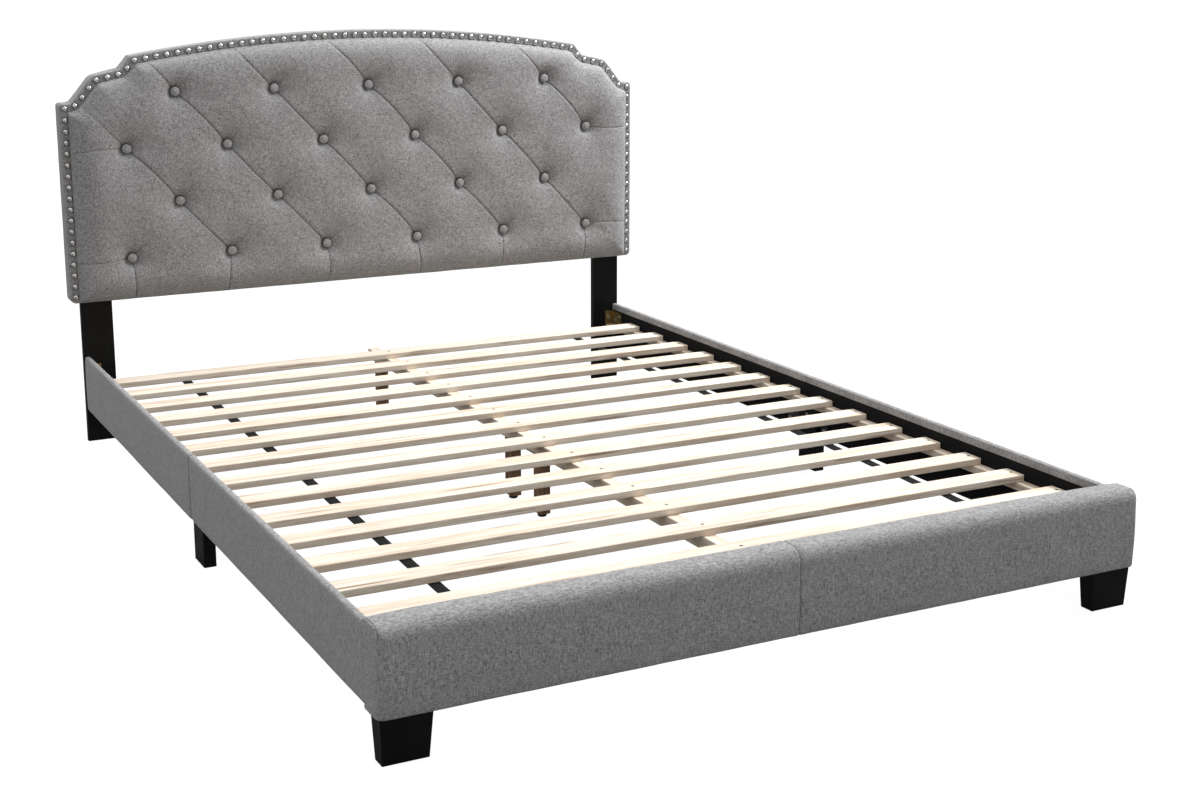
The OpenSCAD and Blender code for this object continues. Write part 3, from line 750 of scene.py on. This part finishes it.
def border_cover():
    """Cloth band under the nails, over the rim and round to the back."""
    profile = [(0.0300, 0.0026), (0.0262, 0.0012), (0.0225, 0.0004), (0.0180, 0.0003), (0.0130, 0.0007),
               (0.0085, 0.0001), (0.0050, -0.0003), (0.0026, 0.0004), (0.0010, 0.0019), (0.0002, 0.0042),
               (0.0, 0.0080)]
    depth = BACK_Y - RIM_Y
    profile += [(0.0, depth * k) for k in (0.3, 0.45, 0.6, 0.75, 0.88)]
    profile += [(0.0003, depth - 0.0028), (0.0012, depth - 0.0010), (0.0030, depth - 0.0002),
                (0.0060, depth), (0.0160, depth - 0.0004), (0.0170, depth - 0.0014)]
    loops = []
    for d, y in profile:
        ring = outline(d, step=0.009)
        loops.append([(x, RIM_Y + y, z) for x, z in ring])
    piece = loft("border_cover", loops, 50, open_ends=True)
    co = coords(piece)
    on_rim = co[:, 1] < RIM_Y + 0.004
    for nx, nz in NAILS:
        r = np.hypot(co[:, 0] - nx, co[:, 2] - nz)
        co[:, 1] += np.where(on_rim, 0.0011 * np.exp(-((r / 0.0085) ** 2)), 0)
    side = ~on_rim & (co[:, 1] < BACK_Y - 0.002)
    middle = np.array([0.0, (HEAD_LOW + HEAD_TOP) / 2])
    away = np.stack([co[:, 0] * 0.3, co[:, 2] - middle[1]], axis=1)
    away /= np.maximum(1e-6, np.linalg.norm(away, axis=1, keepdims=True))
    ripple = np.array([waver(x, y * 0.4, z, 0.05, 21.0) for x, y, z in co])
    co[:, 0] += np.where(side, 0.0006 * ripple * away[:, 0], 0)
    co[:, 2] += np.where(side, 0.0006 * ripple * away[:, 1], 0)
    set_coords(piece, co)
    wall = piece.modifiers.new("Cloth", "SOLIDIFY")
    wall.thickness, wall.offset = 0.0009, -1.0
    apply_modifiers(piece)
    co = coords(piece)
    nearest = np.min([np.hypot(co[:, 0] - nx, co[:, 2] - nz) for nx, nz in NAILS], axis=0)
    ring = outline(0.0)
    inward = edge_distance(co[:, 0], co[:, 2], ring)
    # painted shade in the groove inside the rim and painted shadow round each nail
    valley = np.exp(-(((inward - 0.0225) / 0.0030) ** 2)) * 0.45
    nail_shadow = 0.75 * np.exp(-np.maximum(nearest - 0.0072, 0) / 0.0022)
    mask(piece, "painted_shade", np.where(co[:, 1] < RIM_Y + 0.004, np.maximum(valley, nail_shadow), 0))
    return dress(piece, LINEN, "linen", "headboard_side_cover")


def nail_heads():
    chance = random.Random(7)
    parts = []
    for i, (x, z) in enumerate(NAILS):
        profile = [(NAIL_R * 0.90, 0.0016), (NAIL_R, 0.0008), (NAIL_R * 0.99, 0.0)]
        profile += [(NAIL_R * math.cos(t), -0.0043 * math.sin(t)) for t in (0.35, 0.70, 1.05, 1.36)]
        tilt = (chance.uniform(-0.09, 0.09), chance.uniform(-0.09, 0.09))
        stray_x, stray_z = chance.uniform(-0.0007, 0.0007), chance.uniform(-0.0007, 0.0007)
        centre = (x + stray_x, RIM_Y + 0.0005, z + stray_z)
        parts.append(turned(f"nail_{i}", profile, 16, centre, tilt, 60))
    piece = joined("nail_heads", parts)
    co = coords(piece)
    r = np.min([np.hypot(co[:, 0] - x, co[:, 2] - z) for x, z in NAILS], axis=0)
    # painted dark reflection round the rim of each nail head
    mask(piece, "painted_shade", 0.95 * ramp(r, NAIL_R * 0.86, NAIL_R * 0.99))
    return dress(piece, NICKEL, "nickel", "headboard_nails")


def tuft_buttons():
    chance = random.Random(11)
    parts = []
    for i, (x, z, _) in enumerate(BUTTONS):
        profile = [(0.0070, 0.0040), (0.0108, 0.0036), (0.0120, 0.0020), (0.0121, 0.0004),
                   (0.0116, -0.0014), (0.0104, -0.0028), (0.0084, -0.0039), (0.0058, -0.0047),
                   (0.0030, -0.0051), (0.0009, -0.0052)]
        tilt = (chance.uniform(-0.06, 0.06), chance.uniform(-0.06, 0.06))
        parts.append(turned(f"button_{i}", profile, 32, (x, BUTTON_Y - 0.0005, z), tilt, 70))
    return dress(joined("tuft_buttons", parts), LINEN_BUTTON, "linen", "headboard_buttons")


def back_lining():
    """Black cloth stapled over the headboard's back, with its edge turned in."""
    loops = []
    for d, y in ((0.0048, -0.0002), (0.0036, 0.0002), (0.0036, 0.0011), (0.0046, 0.0014), (0.0100, 0.0012)):
        loops.append([(x, BACK_Y - 0.0016 + y, z) for x, z in outline(d, step=0.02)])
    piece = loft("back_lining", loops, 40)
    ring = outline(0.0036)
    return dress(piece, LINING, "lining", "headboard_back_cloth")


# ---------- side rails ----------

def rail_cover(side, end):
    """Cloth and thin foam round a rail board: over the top, down both faces, tucked in at the joint."""
    name = f"rail_cover_{'right' if side > 0 else 'left'}_{'head' if end > 0 else 'foot'}"
    low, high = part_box(name)
    inner, outer = min(abs(low.x), abs(high.x)), max(abs(low.x), abs(high.x))
    z0, z1 = low.z, high.z
    skin = [(inner + 0.0012, z0 + 0.0016), (inner + 0.0012, z0 + 0.0006), (inner + 0.0030, z0),
            (outer - 0.0030, z0), (outer - 0.0009, z0 + 0.0008), (outer, z0 + 0.0030),
            (outer + 0.0006, z0 + 0.014), (outer + 0.0010, z0 + 0.040), (outer + 0.0012, z0 + 0.072),
            (outer + 0.0010, z1 - 0.040), (outer + 0.0006, z1 - 0.014), (outer + 0.0001, z1 - 0.0060),
            (outer - 0.0010, z1 - 0.0024), (outer - 0.0032, z1 - 0.0003), (outer - 0.0075, z1 + 0.0006),
            (inner + 0.0032, z1 - 0.0001), (inner + 0.0010, z1 - 0.0018), (inner + 0.0001, z1 - 0.0048),
            (inner - 0.0003, z1 - 0.0110), (inner, z1 - 0.0172), (inner + 0.0004, z1 - 0.0180)]
    board_in, board_out = inner + 0.0010, outer - 0.0020
    core = [(board_in - 0.0001, z1 - 0.0178), (board_in - 0.0001, z1 - 0.0021),
            (board_out + 0.0001, z1 - 0.0019), (board_out + 0.0001, z0 + 0.0019),
            (board_in + 0.0004, z0 + 0.0019)]
    reach = high.y - low.y
    ys = [0, 0.0012, 0.003, 0.006, 0.011, 0.018]
    stations = ys + list(np.linspace(0.03, reach - 0.03, 84)) + [reach - y for y in reversed(ys)]
    loops = []
    for s in stations:
        y = low.y + s
        near_seam = s if end > 0 else reach - s
        near_end = reach - s if end > 0 else s
        tuck = 0.0034 * math.exp(-near_seam / 0.0030) + 0.0010 * math.exp(-near_end / 0.003)
        ring = []
        for k, (x, z) in enumerate(skin):
            drift = waver(k * 0.01, y, z, 0.09, 5.0 + side + 2 * end)
            pull = math.exp(-near_seam / 0.05) * math.sin(near_seam * 260 + z * 30)
            out = 0.0006 * drift + 0.0005 * pull
            top = 0.0005 * waver(3.0, y, 0, 0.12, 9.0 + side)
            cx = x - tuck if x > (inner + outer) / 2 else x
            cz = z - tuck if z > z1 - 0.01 else z
            if x > outer - 0.001:
                cx += out
            if z > z1 - 0.004:
                cz += top
            ring.append((side * cx, y, cz))
        ring += [(side * x, y, z) for x, z in core]
        loops.append(ring)
    piece = loft(f"rail_wrap_{'right' if side > 0 else 'left'}_{'head' if end > 0 else 'foot'}", loops, 35)
    co = coords(piece)
    seam = co[:, 1] - low.y if end > 0 else high.y - co[:, 1]
    # painted shade along the tucked seam at the joint
    mask(piece, "painted_shade", 0.9 * np.exp(-seam / 0.0022))
    return dress(piece, LINEN, "linen", name)


def lining_sheet(name, a, b, across, along, wave):
    """A thin flat cloth from corner a to corner b, one axis of which is its thickness."""
    size = [b[k] - a[k] for k in range(3)]
    thin = size.index(min(size))
    u, v = [k for k in range(3) if k != thin]
    rows = []
    for j in range(along + 1):
        row = []
        for i in range(across + 1):
            p = [0.0, 0.0, 0.0]
            p[u] = a[u] + size[u] * j / along
            p[v] = a[v] + size[v] * i / across
            edge = min(1.0, 4 * min(i / across, 1 - i / across, j / along * 5, (1 - j / along) * 5))
            p[thin] = a[thin] + size[thin] * 0.15 + wave * edge * waver(p[0], p[1], p[2], 0.06, 31.0)
            row.append(p)
        rows.append(row)
    piece = lattice(name, rows)
    wall = piece.modifiers.new("Cloth", "SOLIDIFY")
    wall.thickness, wall.offset = 0.0006, 0.0
    apply_modifiers(piece)
    settle(piece, 50)
    return dress(piece, LINING, "lining", "inner_linings")


def inner_linings():
    for side in (-1, 1):
        for end in (-1, 1):
            word = f"{'right' if side > 0 else 'left'}_{'head' if end > 0 else 'foot'}"
            low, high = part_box(f"side_rail_{word}")
            face = min(abs(low.x), abs(high.x))
            x0 = side * face - (0.001 if side > 0 else 0)
            a = (x0, low.y, low.z)
            b = (x0 + 0.001, high.y, high.z - 0.016)
            lining_sheet(f"rail_lining_{word}", a, b, 8, 60, 0.0003)
    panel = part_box("footboard_panel")
    y = foot_high.y - 0.002
    lining_sheet("footboard_lining", (panel[0].x + 0.003, y, foot_low.z + 0.006),
                 (panel[1].x - 0.003, y + 0.001, foot_high.z - LINING_DROP), 8, 90, 0.0003)


# ---------- footboard ----------

def footboard_wrap():
    x1 = foot_high.x
    y0, y1 = foot_low.y, foot_high.y
    z0, z1 = foot_low.z, foot_high.z
    front_r, back_r, low_r = FOOT_FRONT_R, FOOT_BACK_R, FOOT_LOW_R
    lining_top = z1 - LINING_DROP

    def section():
        """(y, z, share of the front, share of the top) round the footboard."""
        pts = [(y0 + low_r, z0, 1, 0), (y0 + low_r * 0.3, z0 + low_r * 0.3, 1, 0), (y0, z0 + low_r, 1, 0)]
        for k in range(1, 8):
            t = k / 8
            bulge = 0.0018 * math.sin(math.pi * t)
            pts.append((y0 - bulge, z0 + low_r + (z1 - front_r - z0 - low_r) * t, 1, 0))
        for k in range(9):
            t = math.pi - math.pi / 2 * k / 8
            pts.append((y0 + front_r + front_r * math.cos(t), z1 - front_r + front_r * math.sin(t),
                        1 - k / 8, k / 8))
        pts.append(((y0 + front_r + y1 - back_r) / 2, z1 + 0.0006, 0, 1))
        for k in range(6):
            t = math.pi / 2 - math.pi / 2 * k / 5
            pts.append((y1 - back_r + back_r * math.cos(t), z1 - back_r + back_r * math.sin(t), 0, 1 - k / 5))
        pts += [(y1 - 0.0002, lining_top + 0.004, 0, 0), (y1 - 0.0008, lining_top + 0.0006, 0, 0),
                (y1 - 0.0032, lining_top, 0, 0), (y1 - 0.0034, z0 + 0.010, 0, 0),
                (y1 - 0.0032, z0 + 0.0062, 0, 0), (y1 - 0.0008, z0 + 0.0058, 0, 0),
                (y1 - 0.0002, z0 + 0.0035, 0, 0), (y1 - 0.0020, z0, 0, 0)]
        return pts

    base = section()
    ends = [0.0, 0.0006, 0.0016, 0.0028, 0.0040, 0.0058, 0.0080, 0.0105, 0.0135, 0.0165, 0.020,
            0.026, 0.034]
    seam = [0.0, 0.0012, 0.0026, 0.0045, 0.0075, 0.0115, 0.018]
    half = [x1 - e for e in ends] + list(np.linspace(x1 - 0.046, 0.03, 58)) + list(reversed(seam))
    stations = half + [-x for x in reversed(half[:-1])]
    loops = []
    for x in stations:
        t = x1 - abs(x)
        round_front = 0.015 * (1 - math.sqrt(max(0.0, 1 - (1 - min(t / 0.015, 1)) ** 2)))
        round_top = 0.0042 * (1 - math.sqrt(max(0.0, 1 - (1 - min(t / 0.0042, 1)) ** 2)))
        dart = 0.0020 * math.exp(-(((t - 0.0040) / 0.0013) ** 2))
        droop = 0.0045 * math.exp(-t / 0.05)
        beside_seam = 0.0008 * math.exp(-(((abs(x) - 0.0075) / 0.006) ** 2))
        groove = 0.0024 * math.exp(-abs(x) / 0.0022) - beside_seam
        ring = []
        for y, z, front, top in base:
            lift = 0.0010 * waver(x, 0, z, 0.11, 41.0) + 0.0007 * waver(x, 2.0, z, 0.035, 45.0)
            ny = y + front * (round_front + groove - lift)
            nz = z - top * (round_top + dart + groove + droop - lift)
            if z < z0 + 0.001 and t > 0.02:
                nz += 0.0012 * waver(x, 0, 0, 0.10, 51.0) + 0.0004
            if front == 0 and top == 0:
                ny = y - 0.0015 * math.exp(-t / 0.002)
            ring.append((x, ny, nz))
        loops.append(ring)
    piece = loft("footboard_wrap", loops, 50)
    co = coords(piece)
    t = x1 - np.abs(co[:, 0])
    high_up = ramp(co[:, 2], z1 - front_r - 0.002, z1 - front_r + 0.012)
    forward = co[:, 1] < y1 - 0.004
    # painted shade in the corner dart and along the middle seam groove
    at_dart = np.exp(-(((t - 0.0040) / 0.0012) ** 2)) * high_up
    at_seam = np.exp(-((co[:, 0] / 0.0014) ** 2)) * forward
    mask(piece, "painted_shade", np.maximum(0.85 * at_dart, 0.55 * at_seam))
    return dress(piece, LINEN, "linen", "footboard_cover")


def seam_stitches():
    """Two rows of stitches beside the footboard's middle seam, over the top and down the front."""
    y0, y1, z0, z1 = foot_low.y, foot_high.y, foot_low.z, foot_high.z
    front_r = FOOT_FRONT_R
    path = [(y1 - 0.014, z1 + 0.0004), (y0 + front_r, z1 + 0.0006)]
    for k in range(1, 9):
        t = math.pi / 2 + math.pi / 2 * k / 8
        path.append((y0 + front_r + (front_r + 0.0010) * math.cos(t),
                     z1 - front_r + (front_r + 0.0010) * math.sin(t)))
    path.append((y0 - 0.0020, (z0 + z1) / 2))
    path.append((y0 - 0.0006, z0 + 0.006))
    path = np.array(path)
    run = np.concatenate([[0], np.cumsum(np.linalg.norm(np.diff(path, axis=0), axis=1))])
    pitch, long, thick = 0.0046, 0.0034, 0.0007
    parts = []
    for x in (-0.0062, 0.0062):
        for k in range(int(run[-1] / pitch)):
            loops = []
            for share, r in ((0.0, 0.3), (0.25, 1.0), (0.75, 1.0), (1.0, 0.3)):
                s = k * pitch + 0.001 + long * share
                y, z = np.interp(s, run, path[:, 0]), np.interp(s, run, path[:, 1])
                ahead = np.array([np.interp(s + 0.001, run, path[:, 0]) - y,
                                  np.interp(s + 0.001, run, path[:, 1]) - z])
                n = unit(np.array([ahead[1], -ahead[0]]) + 1e-9)
                ring = []
                for j in range(6):
                    a = math.pi * 2 * j / 6
                    ring.append((x + thick * r * math.cos(a), y + n[0] * thick * r * math.sin(a),
                                 z + n[1] * thick * r * math.sin(a)))
                loops.append(ring)
            parts.append(loft(f"stitch_{len(parts)}", loops, 70))
    return dress(joined("seam_stitches", parts), THREAD, "linen")


# ---------- webbing straps ----------

def webbing_straps():
    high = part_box("slat_webbing")[1]
    half_w = STRAP_W / 2
    strap_x = high.x - half_w
    groups = ((0, 6), (7, 13))
    thick = 0.0011
    for side in (-1, 1):
        for name, (first, last) in zip(("head", "foot"), groups):
            y_top = slat_boxes[first][1].y - 0.004
            y_low = slat_boxes[last][0].y + 0.004
            centres = [(b[0].y + b[1].y) / 2 for b in slat_boxes[first:last + 1]]
            loops = []
            stations = np.linspace(y_low, y_top, 170)
            for y in stations:
                off = min(abs(y - c) for c in centres)
                sag = 0.0016 * float(ramp(np.array(off), 0.026, 0.060)) ** 0.7
                z = high.z - 0.0001 - sag
                drift = side * strap_x + 0.0008 * waver(0, y, 0, 0.2, 61.0 + side)
                w = half_w
                loops.append([(drift - w, y, z - 0.3 * thick), (drift - w, y, z - 0.7 * thick),
                              (drift - w * 0.93, y, z - thick), (drift, y, z - thick * 1.05),
                              (drift + w * 0.93, y, z - thick), (drift + w, y, z - 0.7 * thick),
                              (drift + w, y, z - 0.3 * thick), (drift + w * 0.93, y, z),
                              (drift, y, z), (drift - w * 0.93, y, z)])
            word = "right" if side > 0 else "left"
            piece = loft(f"webbing_{word}_{name}", loops, 50)
            dress(piece, WEBBING, "webbing", "slat_webbing")


# ---------- CAD nodes that stay: their materials ----------

def finish_nodes():
    by_slot = {"nickel": NICKEL, "plywood": PLYWOOD, "frame_timber": TIMBER, "stained_pine": STAINED,
               "black_leg": LACQUER, "zinc": ZINC, "plate_steel": BLACK_STEEL, "bolt_steel": BOLT_STEEL,
               "dark_screw": DARK_SCREW, "black_plastic": PLASTIC, "linen": LINEN, "lining": LINING,
               "webbing": WEBBING}
    for part in frame["record"]["subparts"]:
        name, slot = part["node"], part["material_slot"]
        if slot == "pine":
            chosen = PINE_ACROSS if name.startswith("slat_") and name != "slat_cleats" else PINE_LONG
        else:
            chosen = by_slot[slot]
        node = frame["nodes"][name]
        if not node.material_slots:
            node.data.materials.append(chosen)
        for held in node.material_slots:
            held.material = chosen


# ---------- floor, light and camera ----------

FLOOR_GREY = 0.12        # what the floor sends back to the bed
FLOOR_GLOW = (0.05, 0.94)    # its own light, for the bed and for the camera
SKY_LIGHT = 0.72
SUN_LIGHT = 1.5
SUN_SOFT = 34            # degrees
HEADBOARD_LIGHT = 80.0
CAMERA_AT = (-1.710, -3.640, 1.297)
CAMERA_DOWN = 12.05      # degrees below the horizon
CAMERA_TURN = -27.39
LENS = 53.53
SHIFT = -0.060


def studio():
    deselect()
    bpy.ops.mesh.primitive_plane_add(size=60, location=(0, 0, 0))
    floor = bpy.context.object
    floor.name = "floor"
    made, tree, into = material("white floor", Base_Color=(FLOOR_GREY,) * 3 + (1,), Roughness=0.9,
                                Specular_IOR_Level=0.0, Emission_Color=(1, 1, 1, 1))
    seen = put(tree, "ShaderNodeLightPath").outputs["Is Camera Ray"]
    glow = put(tree, "ShaderNodeMapRange", {"Value": seen, "To Min": FLOOR_GLOW[0],
                                            "To Max": FLOOR_GLOW[1]})
    tree.links.new(glow.outputs[0], into["Emission Strength"])
    floor.data.materials.append(made)

    world = bpy.data.worlds.new("studio")
    scene.world = world
    world.use_nodes = True
    tree = world.node_tree
    tree.nodes.clear()
    seen = put(tree, "ShaderNodeBackground", {"Color": (1, 1, 1, 1), "Strength": 1.0})
    lit = put(tree, "ShaderNodeBackground", {"Color": (0.985, 0.99, 1, 1), "Strength": SKY_LIGHT})
    ray = put(tree, "ShaderNodeLightPath")
    both = put(tree, "ShaderNodeMixShader", {0: ray.outputs["Is Camera Ray"], 1: lit.outputs[0],
                                             2: seen.outputs[0]})
    end = put(tree, "ShaderNodeOutputWorld")
    tree.links.new(both.outputs[0], end.inputs[0])

    def lamp(name, kind, energy, at, aim, **props):
        data = bpy.data.lights.new(name, kind)
        data.energy = energy
        for key, value in props.items():
            setattr(data, key, value)
        made = bpy.data.objects.new(name, data)
        scene.collection.objects.link(made)
        made.location = at
        made.rotation_euler = (Vector(aim) - Vector(at)).to_track_quat("-Z", "Y").to_euler()
        return made

    lamp("overhead", "SUN", SUN_LIGHT, (1.4, 0.5, 4.0), (0, 0.1, 0), angle=math.radians(SUN_SOFT))
    lamp("headboard light", "AREA", HEADBOARD_LIGHT, (2.0, 0.42, 2.7), (0.0, 1.05, 0.70),
         shape="RECTANGLE", size=0.9, size_y=0.6)

    data = bpy.data.cameras.new("camera")
    camera = bpy.data.objects.new("camera", data)
    scene.collection.objects.link(camera)
    camera.location = CAMERA_AT
    camera.rotation_euler = (math.radians(90 - CAMERA_DOWN), 0, math.radians(CAMERA_TURN))
    data.lens = LENS
    data.sensor_width = 36
    data.shift_y = SHIFT
    data.clip_end = 100
    scene.camera = camera
    scene.view_settings.view_transform = "Standard"


# ---------- build ----------

finish_nodes()
tufted_cover()
border_cover()
nail_heads()
tuft_buttons()
back_lining()
for side in (-1, 1):
    for end in (-1, 1):
        rail_cover(side, end)
inner_linings()
footboard_wrap()
seam_stitches()
webbing_straps()
studio()
deselect()
